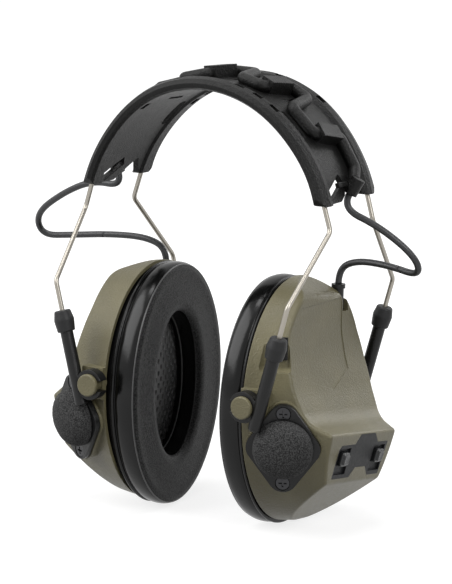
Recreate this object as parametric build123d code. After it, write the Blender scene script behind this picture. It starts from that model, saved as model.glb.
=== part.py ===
from build123d import *
import math
import os

os.makedirs("parts", exist_ok=True)

# An electronic ear-defender headset. Millimetres. +X is the wearer's left, -Y the
# wearer's front, +Z up. Heights are written from the cup pivots and lifted at export.

# Cushions: their oval sets the height of the pivots above the floor.
SEAL_HEIGHT = 103.0
SEAL_WIDTH = 78.0
SEAL_CENTRE_Z = -5.5
SEAL_FACE_X = 21.5
SEAL_BACK_X = 31.2
SEAL_HOLE_WIDTH = 35.0
SEAL_HOLE_HEIGHT = 61.0
SEAL_ROUND = 1.8
SEAL_TOE = 3.0
PIVOT_Z = SEAL_HEIGHT / 2 - SEAL_CENTRE_Z

# Cup shell: an oval funnel cut to a side profile, so the outer plate faces sideways.
RIM_X = 32.5
RIM_HALF_WIDTH = 41.0
RIM_HALF_HEIGHT = 50.5
RIM_CENTRE_Z = -4.5
TIP_X = 70.0
TIP_HALF_WIDTH = 27.5
TIP_HALF_HEIGHT = 46.0
WALL = 2.2
LEDGE_DROP = 7.5
RECESS_DEPTH = 0.25
SHIELD_HALF_WIDTH = 17.0

# Side profiles, from the top of the plate down to the keel. The left cup has a scoop
# above its button ledge, and the right cup is fuller, with its cells behind the ledge.
LEFT_PROFILE = {
    "top": (45.0, 39.0),
    "upper": (45.4, 24.0),
    "middle": (47.4, 14.0),
    "lower": (51.6, 1.0),
    "scoop": (57.0, -10.5),
    "ledge": (66.5, -14.5),
    "chin": (62.3, -35.0),
    "keel": (40.0, -53.5),
}
RIGHT_PROFILE = {
    "top": (48.0, 39.5),
    "upper": (49.0, 24.0),
    "middle": (51.0, 14.0),
    "lower": (54.0, 1.0),
    "scoop": (57.5, -8.5),
    "ledge": (65.8, -14.2),
    "chin": (62.6, -35.0),
    "keel": (40.0, -54.5),
}
BORDER_ROUND = 1.5

# Headband: two arcs a side, with a thick rim front and rear and a thin web between.
ARCH_TOP_Z = 123.0
TOP_RADIUS = 52.0
TOP_ARC_HALF = 40.0
SIDE_RADIUS = 66.0
BAND_END_ANGLE = 77.0
BAND_HALF_WIDTH = 26.0
BAND_NARROWING = 4.0
FOOT_FLARE = 2.0
FLARE_START = 50.0
RIM_WIDTH = 8.6
RIM_HALF_THICKNESS = 2.4
RIM_CROWN = 0.5
WEB_OUTER = 0.9
WEB_INNER = -1.5
SECTION_STEP = 11

# Openings in the band: angle from the top and side (-1 is the front on the left half).
RIM_WINDOWS = [(18, -1), (27, -1), (36, -1), (12, 1), (34.5, 1)]
WINDOW_INSET = 3.7
WINDOW_WIDTH = 3.0
WINDOW_LENGTH = 4.4
CRESCENT_ANGLE = 44.0
CRESCENT_LENGTH = 15.0
CRESCENT_WIDTH = 4.4
SLANT_ANGLE = 69.0

# Flat bars over every second crossing of the cord's channel.
BAR_ANGLES = [50.7, 22.7, -5.0, -32.8]
BAR_LENGTH = 13.0
BAR_WIDTH = 6.4
BAR_TOP = 6.2
BAR_SLANT = -12.0

# Spring wires, one in each rim.
WIRE_DIAMETER = 2.0
WIRE_INSET = 3.9
WIRE_LAST_ANGLE = 72
WIRE_STEP = 8
WIRE_UPPER_BEND = (57.5, 18.3, 68.2)
LOWER_BEND_X = 53.9
LOWER_BEND_Z = 41.0
WIRE_BEND_RADIUS = 4.0
WIRE_TIP_Z = 3.5
BORE_CLEARANCE = 0.05

# Arms: a tube that slides on the wire's end and a ring that holds the stud.
ARM_Y = 45.0
ARM_LEAN = 15.0
ARM_RADIUS = 2.65
ARM_BOTTOM_Z = -9.0
ARM_TOP_Z = 26.0
CAP_BOTTOM_Z = 20.4
CAP_TOP_Z = 29.0
CAP_RADIUS = 4.15
CAP_FOOT_RADIUS = 3.6
CAP_TIP_RADIUS = 3.3
PIVOT_X = 36.1
RING_RADIUS = 6.2
RING_INNER_Y = ARM_Y - ARM_RADIUS
RING_OUTER_Y = 46.9
RING_MOUTH = 4.4
STUD_RADIUS = 3.2
STUD_HEAD_RADIUS = 4.55
STUD_HEAD_THICKNESS = 1.6
PIVOT_CLEARANCE = 0.08
SIDE_GAP = 0.15

# Cord: held on the band from clip to clip, then one free loop to each cup.
CORD_DIAMETER = 2.8
CORD_LIFT = 3.0
COVER_RADIUS = 2.5
RUN_Y = 9.0
CROSSING_BEND = 2.8
END_BEND = 3.0
CLIP_RADIUS = 2.9
CLIP_LENGTH = 7.0
CLIP_SEAT = (70.5, 2.5)
CORD_EXIT = (54.9, 2.0, 81.0)
CORD_ENTRY = (41.6, 20.0, 41.0)
CORD_DROP = 6.6
CORD_RISE = 6.5
LEFT_LOOP = [
    (67.0, 5.5, 68.4),
    (80.2, 12.0, 56.8),
    (80.6, 15.8, 48.4),
    (66.0, 17.2, 51.2),
    (50.5, 19.2, 51.6),
]
RIGHT_LOOP = [
    (68.0, 2.4, 76.2),
    (84.0, 4.2, 69.6),
    (102.0, 9.5, 58.5),
    (102.2, 14.5, 48.3),
    (88.0, 16.2, 49.5),
    (68.0, 17.8, 51.6),
    (51.0, 19.2, 51.6),
]

# Strain relief where the cord enters the cup.
BOOT_RADIUS = 2.3
BOOT_COLLAR_RADIUS = 2.9
BOOT_COLLAR_HEIGHT = 1.8
BOOT_BOTTOM_Z = 30.0

# Microphone on the front wall of each cup.
MIC_CENTRE = (49.0, -36.6, -16.8)
MIC_TURN = 67.0
MIC_TILT = 8.0
FLANGE_WIDTH = 28.0
FLANGE_HEIGHT = 38.5
FLANGE_THICKNESS = 2.2
FLANGE_ROUND = 6.0
FOAM_RADIUS = 12.0
FOAM_HEIGHT = 7.5
FOAM_STRAIGHT = 1.2
SCREW_SPACING = 29.0
SCREW_HEAD_RADIUS = 2.7
SCREW_HEAD_DEPTH = 1.7
SCREW_RADIUS = 1.3
CAPSULE_RADIUS = 4.8
CAPSULE_LENGTH = 4.5

# Socket for a boom microphone in the front wall.
POCKET_CENTRE = (43.1, -33.7, 22.5)
POCKET_WIDTH = 13.0
POCKET_HEIGHT = 19.5
POCKET_DEPTH = 3.2
POCKET_TAPER = 25.0
POCKET_ROUND = 2.0
SOCKET_WIDTH = 5.6
SOCKET_HEIGHT = 9.0
SOCKET_THICKNESS = 0.9
SOCKET_SIDE = 1.6
SOCKET_DROP = 0.6
CONTACT_RADIUS = 1.0
CONTACT_SPACING = 4.4
CONTACT_HEIGHT = 0.5

# Button panel on the left cup and battery lid on the right cup.
PANEL_WIDTH = 41.0
PANEL_HEIGHT = 18.0
PANEL_DEPTH = 3.0
PANEL_BACKING = 4.8
PANEL_BOTTOM = -8.4
PANEL_SHOULDER = 5.7
PANEL_TOP = 9.7
PANEL_NOTCH_TOP = -4.4
PANEL_NOTCH_CENTRE = 2.3
PANEL_CORNER = 0.7
BUTTON_SPACING = 30.0
BUTTON_SIZE = 5.8
BUTTON_PROUD = 2.0
BUTTON_POCKET_WIDTH = 9.6
BUTTON_POCKET_HEIGHT = 11.0
BUTTON_POCKET_DEPTH = 1.0
BUTTON_HEIGHT = 4.8
LID_WIDTH = 49.0
LID_HEIGHT = 13.6
LID_RAISE = 1.8
LID_THICKNESS = 2.0
LID_GAP = 0.3
LID_BARREL = 36.0
HINGE_RADIUS = 1.5
HINGE_PIN_RADIUS = 0.75
HINGE_GROOVE_RADIUS = 2.5
CELL_RADIUS = 5.25
CELL_LENGTH = 44.5
CELL_PITCH = 10.6
TRAY_LENGTH = 47.6
TRAY_HEIGHT = 12.8
TRAY_WALL = 0.8
CONTACT_PLATE = 0.4

# Inside the cups.
LINER_X = 35.5
LINER_THICKNESS = 3.0
LINER_HALF_WIDTH = 32.5
LINER_HALF_HEIGHT = 43.5
SPEAKER_Z = 9.5
SPEAKER_RADIUS = 18.0
BOARD_WIDTH = 40.0
BOARD_HEIGHT = 17.0


def lifted(shape):
    return Pos(0, 0, PIVOT_Z) * shape


def save(shape, name):
    export_step(lifted(shape), "parts/" + name + ".step")


def save_pair(shape, name):
    """Write a piece of the left side and its mirror image on the right side."""
    save(shape, "left_" + name)
    save(mirror(shape, about=Plane.YZ), "right_" + name)


def front_of(shape):
    """The front twin of a piece that was drawn on the rear side."""
    return mirror(shape, about=Plane.XZ)


# ---------------------------------------------------------------- headband

def arch(angle):
    """Point and outward direction on the band's centreline, angle from the top."""
    turn = math.radians(abs(angle))
    side = math.copysign(1, angle)
    radius, centre_x, centre_z = TOP_RADIUS, 0, ARCH_TOP_Z - TOP_RADIUS
    if abs(angle) > TOP_ARC_HALF:
        step = TOP_RADIUS - SIDE_RADIUS
        centre_x += step * math.sin(math.radians(TOP_ARC_HALF))
        centre_z += step * math.cos(math.radians(TOP_ARC_HALF))
        radius = SIDE_RADIUS
    x = side * (centre_x + radius * math.sin(turn))
    z = centre_z + radius * math.cos(turn)
    return x, z, side * math.sin(turn), math.cos(turn)


def band_half_width(angle):
    return BAND_HALF_WIDTH - BAND_NARROWING * (angle / BAND_END_ANGLE) ** 2


def foot_flare(angle):
    """How far a rim's outer edge spreads beyond its straight run, near the band's ends."""
    share = max(0, abs(angle) - FLARE_START) / (BAND_END_ANGLE - FLARE_START)
    return FOOT_FLARE * share ** 2


def band_place(angle, y=0, lift=0):
    """A plane on the band: local X runs along +Y and local Z points outward."""
    x, z, out_x, out_z = arch(angle)
    origin = (x + lift * out_x, y, z + lift * out_z)
    return Plane(origin=origin, x_dir=(0, 1, 0), z_dir=(out_x, 0, out_z))


def band_section(angle):
    """A rounded rim front and rear, joined by the thin web."""
    x, z, out_x, out_z = arch(angle)
    w = band_half_width(angle)
    t = RIM_HALF_THICKNESS
    inner = w - RIM_WIDTH
    edge = w + foot_flare(angle)
    half = [
        (inner, WEB_OUTER),
        (inner + 1.4, t),
        (w - RIM_WIDTH / 2, t + RIM_CROWN),
        (edge - 1.4, t - 0.4),
        (edge, 0.2),
        (edge - 0.5, 0.8 - t),
        (edge - 1.9, -t),
        (inner + 1.4, -t),
        (inner, WEB_INNER),
    ]
    other = [(-y, r) for y, r in reversed(half)]
    outline = make_face(Polyline(*half, *other, close=True))
    return Plane(origin=(x, 0, z), x_dir=(0, 1, 0), z_dir=(out_z, 0, -out_x)) * outline


def band_blank():
    steps = int(BAND_END_ANGLE / SECTION_STEP)
    angles = [SECTION_STEP * i for i in range(-steps, steps + 1)]
    return loft([band_section(angle) for angle in angles])


def end_trim():
    """What is cut from below each end: a long front lobe, a notch and a rear lobe."""
    outline = FilletPolyline(
        (-40, 60),
        (-40, 83),
        (-25.5, 83),
        (-21.5, 78),
        (-5, 78.5),
        (9.5, 87),
        (13.5, 79.5),
        (20.5, 79.5),
        (25.5, 85),
        (40, 85),
        (40, 60),
        radius=[1, 1, 2.5, 2, 0.8, 1.5, 2, 1, 1],
    )
    face = make_face([outline, Line((40, 60), (-40, 60))])
    return extrude(Plane.YZ.offset(30) * face, 60)


def wire_route():
    """Corners of the rear spring wire from the left arm over the band to the right."""
    lean = math.tan(math.radians(ARM_LEAN))
    tip_x = LOWER_BEND_X - (LOWER_BEND_Z - WIRE_TIP_Z) * lean
    left = [
        (tip_x, ARM_Y, WIRE_TIP_Z),
        (LOWER_BEND_X, ARM_Y, LOWER_BEND_Z),
        WIRE_UPPER_BEND,
    ]
    on_band = []
    for angle in range(WIRE_LAST_ANGLE, -WIRE_LAST_ANGLE - 1, -WIRE_STEP):
        x, z, _, _ = arch(angle)
        on_band.append((x, band_half_width(angle) - WIRE_INSET, z))
    right = [(-x, y, z) for x, y, z in reversed(left)]
    return left, on_band, right


def wire_path():
    left, on_band, right = wire_route()
    gentle = [30.0] * len(on_band)
    bends = [WIRE_BEND_RADIUS] * 2
    return FilletPolyline(*left, *on_band, *right, radius=[*bends, *gentle, *bends])


def along(path, radius):
    """A round bar of the given radius along a path."""
    start = Plane(origin=path @ 0, z_dir=path % 0)
    return sweep(start * Circle(radius), path=path)


def cord_path_on_band():
    """The held cord's route: from the left clip it crosses the web again and again."""
    runs = [
        CLIP_SEAT, (64, RUN_Y), (52.5, RUN_Y), (49, -RUN_Y), (37.5, -RUN_Y),
        (34, RUN_Y), (24.5, RUN_Y), (21, -RUN_Y), (11, -RUN_Y), (7, RUN_Y),
        (-3, RUN_Y), (-7, -RUN_Y), (-18, -RUN_Y), (-21.5, RUN_Y), (-31, RUN_Y),
        (-34.5, -RUN_Y), (-44, -RUN_Y), (-48, RUN_Y), (-64, RUN_Y), (-CLIP_SEAT[0], CLIP_SEAT[1]),
    ]
    points = []
    for angle, y in runs:
        place = band_place(angle, y, CORD_LIFT)
        points.append(tuple(place.origin))
    last = (-CORD_EXIT[0], CORD_EXIT[1], CORD_EXIT[2])
    bends = [END_BEND] + [CROSSING_BEND] * (len(points) - 2) + [END_BEND]
    return FilletPolyline(CORD_EXIT, *points, last, radius=bends)


def clip_place():
    """Axis of the left clip, upward from the cord's exit along the last held run."""
    top = band_place(*CLIP_SEAT, CORD_LIFT).origin
    return Plane(origin=CORD_EXIT, z_dir=top - Vector(*CORD_EXIT))


def cable_clip():
    place = clip_place()
    barrel = place * extrude(Circle(CLIP_RADIUS), CLIP_LENGTH)
    clip = barrel + clip_foot(0)
    clip -= along(cord_path_on_band(), CORD_DIAMETER / 2 + BORE_CLEARANCE)
    return clip - place * extrude(Circle(CLIP_RADIUS * 3), -20)


def clip_foot(grow):
    """Foot on the web and the hook beside it, grown all round for their room."""
    foot = band_place(70.2, 1.9, WEB_OUTER + 1.0) * Box(4.4 + grow, 6 + grow, 3.2 + grow)
    hook = band_place(68.5, -3.2, WEB_OUTER + 0.8) * Box(8.0 + grow, 2.0 + grow, 1.6 + grow)
    return foot + hook


def clip_room():
    barrel = clip_place() * Pos(0, 0, -1) * extrude(Circle(CLIP_RADIUS + 0.03), CLIP_LENGTH + 1.05)
    return barrel + clip_foot(0.06)


def band_windows():
    """Openings through the web and short windows in the rims that show the wire."""
    cuts = Part()
    for angle, side in RIM_WINDOWS:
        for turn in (1, -1):
            y = side * turn * (band_half_width(angle) - RIM_WIDTH + WINDOW_INSET)
            cuts += band_place(turn * angle, y) * Box(WINDOW_WIDTH, WINDOW_LENGTH, 12)
    for turn in (1, -1):
        y = -turn * (band_half_width(CRESCENT_ANGLE) - RIM_WIDTH - CRESCENT_WIDTH / 2)
        crescent = extrude(SlotOverall(CRESCENT_LENGTH, CRESCENT_WIDTH), 8, both=True)
        cuts += band_place(turn * CRESCENT_ANGLE, y) * Rot(0, 0, 90) * crescent
        slant = band_place(turn * SLANT_ANGLE, -7.5) * Rot(0, 0, turn * 28)
        cuts += slant * Box(14, 4.0, 8)
    for angle in (31, 18, 4.5):
        for turn in (1, -1):
            cuts += band_place(turn * angle, 0) * Box(10, 1.6, 8)
    return cuts


def crossing_bars():
    """Flat-topped bars where the cord's channel crosses the web from rear to front."""
    bars = Part()
    height = BAR_TOP - WEB_INNER
    for angle in BAR_ANGLES:
        place = band_place(angle, 0, BAR_TOP - height / 2) * Rot(0, 0, BAR_SLANT)
        bars += place * Box(BAR_LENGTH, BAR_WIDTH, height)
    return bars


def headband():
    band = band_blank()
    path = cord_path_on_band()
    band += along(path, COVER_RADIUS)
    band += crossing_bars()
    trim = end_trim()
    band -= trim + mirror(trim, about=Plane.YZ)
    band -= band_windows()
    rear_bore = along(wire_path(), WIRE_DIAMETER / 2 + BORE_CLEARANCE)
    band -= rear_bore
    band -= front_of(rear_bore)
    band -= along(path, CORD_DIAMETER / 2 + BORE_CLEARANCE)
    room = clip_room()
    return band - room - mirror(room, about=Plane.YZ)


# ---------------------------------------------------------------- cord

def free_cord(loop, side):
    below_clip = tuple((clip_place() * Pos(0, 0, -CORD_DROP)).position)
    above_boot = (CORD_ENTRY[0], CORD_ENTRY[1], CORD_ENTRY[2] + CORD_RISE)
    points = [CORD_EXIT, below_clip, *loop, above_boot, CORD_ENTRY]
    points = [(side * x, y, z) for x, y, z in points]
    radii = []
    for i in range(1, len(points) - 1):
        before = Vector(*points[i]) - Vector(*points[i - 1])
        after = Vector(*points[i + 1]) - Vector(*points[i])
        half_turn = math.radians(before.get_angle(after)) / 2
        radii.append(0.45 * min(before.length, after.length) / math.tan(half_turn))
    path = FilletPolyline(*points, radius=radii)
    print("free cord", side, "length", round(path.length, 1), "radii", [round(r, 1) for r in radii])
    return along(path, CORD_DIAMETER / 2)


# ---------------------------------------------------------------- arms

def arm_place(y=ARM_Y):
    """Axis of an arm's tube: origin level with the pivots, local Z up the wire."""
    lean = math.radians(ARM_LEAN)
    x = LOWER_BEND_X - LOWER_BEND_Z * math.tan(lean)
    across = (math.cos(lean), 0, -math.sin(lean))
    return Plane(origin=(x, y, 0), x_dir=across, z_dir=(math.sin(lean), 0, math.cos(lean)))


def up_wire(z):
    """Distance along the leaning tube for a height above the pivots."""
    return z / math.cos(math.radians(ARM_LEAN))


def rod(place, radius, bottom, top):
    return place * Pos(0, 0, bottom) * extrude(Circle(radius), top - bottom)


def rear_arm():
    place = arm_place()
    tube = rod(place, ARM_RADIUS, up_wire(ARM_BOTTOM_Z), up_wire(ARM_TOP_Z))
    ring_plane = Plane(origin=(PIVOT_X, RING_OUTER_Y, 0), z_dir=(0, -1, 0))
    thickness = RING_OUTER_Y - RING_INNER_Y
    ring = ring_plane * extrude(Circle(RING_RADIUS), thickness)
    arm = fillet(tube.edges().group_by(Axis.Z)[0], 0.8) + ring
    bore = ring_plane * extrude(Circle(STUD_RADIUS + PIVOT_CLEARANCE), thickness * 2, both=True)
    mouth = Pos(PIVOT_X - RING_RADIUS, ARM_Y, 0) * Box(RING_RADIUS * 2, 20, RING_MOUTH)
    wire_bore = rod(place, WIRE_DIAMETER / 2 + BORE_CLEARANCE, up_wire(ARM_BOTTOM_Z) + 2.5, 40)
    head_room = ring_plane * extrude(Circle(STUD_HEAD_RADIUS + 0.3), -10)
    return arm - bore - mouth - wire_bore - head_room


def arm_cap():
    place = arm_place()
    bottom = up_wire(CAP_BOTTOM_Z)
    top = up_wire(CAP_TOP_Z)
    widest = bottom + 0.55 * (top - bottom)
    profile = FilletPolyline(
        (0, bottom),
        (CAP_FOOT_RADIUS, bottom),
        (CAP_RADIUS, widest),
        (CAP_TIP_RADIUS, top),
        (0, top),
        radius=[0.6, 3.0, 0.9],
    )
    face = make_face([profile, Line((0, top), (0, bottom))])
    cap = place * revolve(Plane.XZ * face, Axis.Z)
    cap -= rod(place, ARM_RADIUS + 0.02, bottom - 1, up_wire(ARM_TOP_Z) + 0.02)
    return cap - rod(place, WIRE_DIAMETER / 2 + BORE_CLEARANCE, 0, 40)


def rear_stud():
    shaft = Plane(origin=(PIVOT_X, RING_OUTER_Y + SIDE_GAP, 0), z_dir=(0, -1, 0))
    length = RING_OUTER_Y + SIDE_GAP - stud_root_y()
    stud = shaft * extrude(Circle(STUD_RADIUS), length)
    head = shaft * extrude(Circle(STUD_HEAD_RADIUS), -STUD_HEAD_THICKNESS)
    head = fillet(head.edges().group_by(Axis.Y)[-1], 0.6)
    return stud + head


def stud_root_y():
    return RIM_HALF_WIDTH - 3.0


# ---------------------------------------------------------------- cups

def oval(x, half_width, half_height, centre_z):
    place = Plane(origin=(x, 0, centre_z), x_dir=(0, 1, 0), z_dir=(1, 0, 0))
    return place * Ellipse(half_width, half_height)


def funnel(inset):
    """The oval body of a cup, before its side profile is cut."""
    rim = oval(RIM_X, RIM_HALF_WIDTH - inset, RIM_HALF_HEIGHT - inset, RIM_CENTRE_Z)
    tip = oval(TIP_X, TIP_HALF_WIDTH - inset, TIP_HALF_HEIGHT - inset, RIM_CENTRE_Z)
    return loft([rim, tip])


def side_profile(inset, profile):
    outline = FilletPolyline(
        (RIM_X - 8, 52.0),
        *profile.values(),
        (RIM_X - 8, -61.5),
        radius=[6.0, 25.0, 35.0, 35.0, 12.0, 1.5, 2.5, 5.0],
    )
    face = make_face([outline, Line((RIM_X - 8, -61.5), (RIM_X - 8, 52.0))])
    if inset:
        face = offset(face, -inset, kind=Kind.INTERSECTION)
    slope = math.radians(LEDGE_DROP)
    face = Plane.XZ * face
    return extrude(face, 60, dir=(0, math.cos(slope), -math.sin(slope)), both=True)


def cup_body(inset, profile):
    return funnel(inset) & side_profile(inset, profile)


def rounded_body(profile):
    """The cup's outside, with the border between its plate and its side wall rounded."""
    body = cup_body(0, profile)
    border = [e for e in body.edges() if e.geom_type == GeomType.BSPLINE]
    return fillet(border, BORDER_ROUND)


def panel_place(profile=LEFT_PROFILE):
    """Middle of the ledge's outer face: local X runs rearward, local Z points outward."""
    slope = math.radians(LEDGE_DROP)
    ledge, chin = profile["ledge"], profile["chin"]
    down = Vector(chin[0] - ledge[0], 0, chin[1] - ledge[1])
    rearward = Vector(0, math.cos(slope), -math.sin(slope))
    middle = Vector((chin[0] + ledge[0]) / 2, 0, (chin[1] + ledge[1]) / 2)
    return Plane(origin=middle, x_dir=rearward, z_dir=down.cross(rearward))


def mic_place(out=0):
    """Face of the microphone's seat: local Y up, local Z out of the cup."""
    turn, tilt = math.radians(MIC_TURN), math.radians(MIC_TILT)
    level = math.cos(tilt)
    z_dir = Vector(level * math.cos(turn), -level * math.sin(turn), -math.sin(tilt))
    origin = Vector(*MIC_CENTRE) + z_dir * out
    return Plane(origin=origin, x_dir=z_dir.cross(Vector(0, 0, 1)) * -1, z_dir=z_dir)


def pocket_place():
    turn = math.radians(MIC_TURN)
    z_dir = Vector(math.cos(turn), -math.sin(turn), 0)
    return Plane(origin=POCKET_CENTRE, x_dir=z_dir.cross(Vector(0, 0, 1)) * -1, z_dir=z_dir)


def diamond(grow=0):
    """The microphone flange's outline: a rhombus with well rounded corners."""
    reach = 1.16
    w = FLANGE_WIDTH / 2 * reach
    h = FLANGE_HEIGHT / 2 * reach
    outline = make_face(Polyline((w, 0), (0, h), (-w, 0), (0, -h), close=True))
    outline = fillet(outline.vertices(), FLANGE_ROUND)
    return offset(outline, grow) if grow else outline


def shield():
    """Outline of the shallow recess on the outer plate, drawn in Y and Z."""
    w = SHIELD_HALF_WIDTH
    outline = make_face(Polyline((-w, 36), (w, 36), (w, 7), (0, 1.2), (-w, 7), close=True))
    return extrude(Plane.YZ.offset(RIM_X) * outline, 40)


def stud_block():
    """The block on the rim that carries the rear pivot stud."""
    depth = RING_INNER_Y - 2 * SIDE_GAP - (RIM_HALF_WIDTH - 5)
    centre_y = RING_INNER_Y - 2 * SIDE_GAP - depth / 2
    return Pos(RIM_X + 5, centre_y, 0) * Box(10, depth, 13)


def beyond(x):
    """Everything outward of a distance from the middle."""
    return Pos(x + 50, 0, 0) * Box(100, 300, 300)


def cup_shell(profile, cut, backing):
    """A cup's shell: cut is taken out at the end, and backing stays behind the wall."""
    skin = cup_body(0, profile) - cup_body(RECESS_DEPTH, profile)
    shell = rounded_body(profile) - (shield() & skin)
    block = stud_block()
    seat = mic_place(-FLANGE_THICKNESS) * extrude(diamond(0.5), -7)
    shell += block + front_of(block) + (seat & beyond(RIM_X))
    hollow = cup_body(WALL, profile)
    liner_room = oval_slab(LINER_X, LINER_X + LINER_THICKNESS + 0.5, LINER_HALF_WIDTH + 0.5,
                           LINER_HALF_HEIGHT + 0.5, RIM_CENTRE_Z - 1)
    solid = backing & beyond(LINER_X + 0.5)
    shell -= hollow - (solid - liner_room)
    shell -= oval_slab(RIM_X - 1, RIM_X + 1.5, RIM_HALF_WIDTH - 1.6, RIM_HALF_HEIGHT - 1.6)
    shell -= cut
    stud_hole = Plane(origin=(PIVOT_X, 0, 0), z_dir=(0, 1, 0)) * Circle(STUD_RADIUS + 0.02)
    shell -= extrude(stud_hole, 60, both=True)
    for place in screw_places():
        shell -= place * extrude(Circle(SCREW_RADIUS + 0.02), 12, both=True)
    shell -= mic_place() * extrude(Circle(CAPSULE_RADIUS + 0.05), 14, both=True)
    shell -= mic_place(-FLANGE_THICKNESS) * extrude(diamond(0.03), 12)
    return shell - boot_room()


def pocket_block():
    """Backing kept behind the front pocket."""
    depth = POCKET_DEPTH + WALL + 1.1
    size = Box(POCKET_WIDTH + 3, POCKET_HEIGHT + 3, depth)
    return pocket_place() * Pos(0, 0, 1.1 - depth / 2) * size


def panel_block(profile):
    """Backing kept behind the ledge's outer face."""
    depth = PANEL_BACKING + WALL
    size = Box(PANEL_WIDTH + 3, PANEL_HEIGHT + 3, depth)
    return panel_place(profile) * Pos(0, 0, 1.1 - depth / 2) * size


def oval_slab(x0, x1, half_width, half_height, centre_z=RIM_CENTRE_Z):
    return extrude(oval(x0, half_width, half_height, centre_z), x1 - x0)


def pocket_cut():
    """The front pocket: its walls slope in toward the floor."""
    mouth = RectangleRounded(POCKET_WIDTH, POCKET_HEIGHT, POCKET_ROUND)
    recess = extrude(mouth, -POCKET_DEPTH, taper=POCKET_TAPER)
    return pocket_place() * (recess + extrude(mouth, 10))


def screw_places():
    up = [SCREW_SPACING / 2, -SCREW_SPACING / 2]
    return [mic_place() * Pos(0, z, 0) for z in up]


def boot_room():
    """The boot's seat in the corner of the shell, open to the outer side."""
    foot = Pos(CORD_ENTRY[0], CORD_ENTRY[1], BOOT_BOTTOM_Z)
    hole = foot * extrude(Circle(BOOT_RADIUS + 0.02), 30)
    slot = foot * Pos(10, 0, 15) * Box(20, BOOT_RADIUS * 2 + 0.04, 30)
    collar_z = CORD_ENTRY[2] - BOOT_COLLAR_HEIGHT - 0.05
    collar = Pos(CORD_ENTRY[0], CORD_ENTRY[1], collar_z) * extrude(Circle(BOOT_COLLAR_RADIUS + 0.05), 20)
    return hole + slot + collar


def strain_relief():
    foot = Pos(CORD_ENTRY[0], CORD_ENTRY[1], BOOT_BOTTOM_Z)
    height = CORD_ENTRY[2] - BOOT_BOTTOM_Z
    body = foot * extrude(Circle(BOOT_RADIUS), height)
    collar = foot * Pos(0, 0, height - BOOT_COLLAR_HEIGHT)
    return body + collar * extrude(Circle(BOOT_COLLAR_RADIUS), BOOT_COLLAR_HEIGHT)


def panel_outline(grow=0):
    """Two lobes for the buttons and a taller middle, notched from below."""
    w = PANEL_WIDTH / 2
    notch = PANEL_NOTCH_CENTRE
    outline = [
        (-w, PANEL_BOTTOM),
        (notch - 8, PANEL_BOTTOM),
        (notch - 4.3, PANEL_NOTCH_TOP),
        (notch + 4.3, PANEL_NOTCH_TOP),
        (notch + 8, PANEL_BOTTOM),
        (w - 0.5, PANEL_BOTTOM),
        (w + 1, PANEL_SHOULDER),
        (12.5, PANEL_SHOULDER),
        (8.2, PANEL_TOP),
        (-4.4, PANEL_TOP),
        (-7.5, PANEL_SHOULDER),
        (-w + 1.5, PANEL_SHOULDER),
        (-w, PANEL_SHOULDER - 2),
    ]
    face = make_face(Polyline(*outline, close=True))
    face = fillet(face.vertices(), PANEL_CORNER)
    return offset(face, grow) if grow else face


def button_spot(side):
    return panel_place() * Pos(side * BUTTON_SPACING / 2, 0, 0)


def button_panel():
    panel = panel_place() * extrude(panel_outline(), -PANEL_DEPTH)
    for side in (-1, 1):
        spot = button_spot(side)
        pocket = Box(BUTTON_POCKET_WIDTH, BUTTON_POCKET_HEIGHT, BUTTON_POCKET_DEPTH * 2)
        panel -= spot * Pos(0, -1.2, 0) * pocket
        panel -= spot * Box(BUTTON_SIZE + 0.2, BUTTON_SIZE + 0.2, 20)
    return panel


def button(side):
    middle = BUTTON_PROUD - BUTTON_HEIGHT / 2
    cap = button_spot(side) * Pos(0, 0, middle) * Box(BUTTON_SIZE, BUTTON_SIZE, BUTTON_HEIGHT)
    return fillet(cap.edges(), 0.4)


def panel_room():
    """The panel's pocket in the shell, with a well behind each button."""
    room = panel_place() * extrude(panel_outline(0.02), -PANEL_DEPTH - 0.02)
    room += panel_place() * extrude(panel_outline(0.02), 10)
    for side in (-1, 1):
        well = BUTTON_SIZE + 0.6
        room += button_spot(side) * Pos(0, 0, -PANEL_DEPTH) * Box(well, well, 2.4)
    return room


def lid_place():
    return panel_place(RIGHT_PROFILE) * Pos(0, LID_RAISE, 0)


def lid_hinge_place():
    """The lid's hinge axis along local X, at the lid's lower edge."""
    return lid_place() * Pos(0, -LID_HEIGHT / 2 - HINGE_RADIUS, -0.4)


def bar(place, radius, length):
    """A round bar along local X, centred."""
    return place * Rot(0, 90, 0) * Pos(0, 0, -length / 2) * extrude(Circle(radius), length)


def battery_lid():
    plate = lid_place() * Pos(0, 0, -LID_THICKNESS / 2) * Box(LID_WIDTH, LID_HEIGHT, LID_THICKNESS)
    web = lid_hinge_place() * Pos(0, HINGE_RADIUS / 2 + 0.3, -0.3) * Box(LID_BARREL, HINGE_RADIUS + 1, 1.4)
    lid = plate + web + bar(lid_hinge_place(), HINGE_RADIUS, LID_BARREL)
    return lid - bar(lid_hinge_place(), HINGE_PIN_RADIUS + BORE_CLEARANCE, LID_WIDTH)


def hinge_pin():
    return bar(lid_hinge_place(), HINGE_PIN_RADIUS, LID_BARREL + 6)


def lid_room():
    """The lid's seat, the groove its hinge turns in, the pin's hole and the cells' way in."""
    gap = 2 * LID_GAP
    seat = Pos(0, 0, 5 - LID_THICKNESS) * Box(LID_WIDTH + gap, LID_HEIGHT + gap, 10)
    room = lid_place() * seat
    room += bar(lid_hinge_place(), HINGE_GROOVE_RADIUS, LID_BARREL + gap)
    room += bar(lid_hinge_place(), HINGE_PIN_RADIUS + 0.02, LID_BARREL + 6.1)
    return room + lid_place() * Pos(0, 0, -10) * Box(TRAY_LENGTH, TRAY_HEIGHT, 20)


def cell_place(row):
    return lid_place() * Pos(0, 0, -LID_THICKNESS - 0.4 - (row + 0.5) * CELL_PITCH)


def batteries():
    return Compound([bar(cell_place(row), CELL_RADIUS, CELL_LENGTH) for row in (0, 1)])


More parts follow.
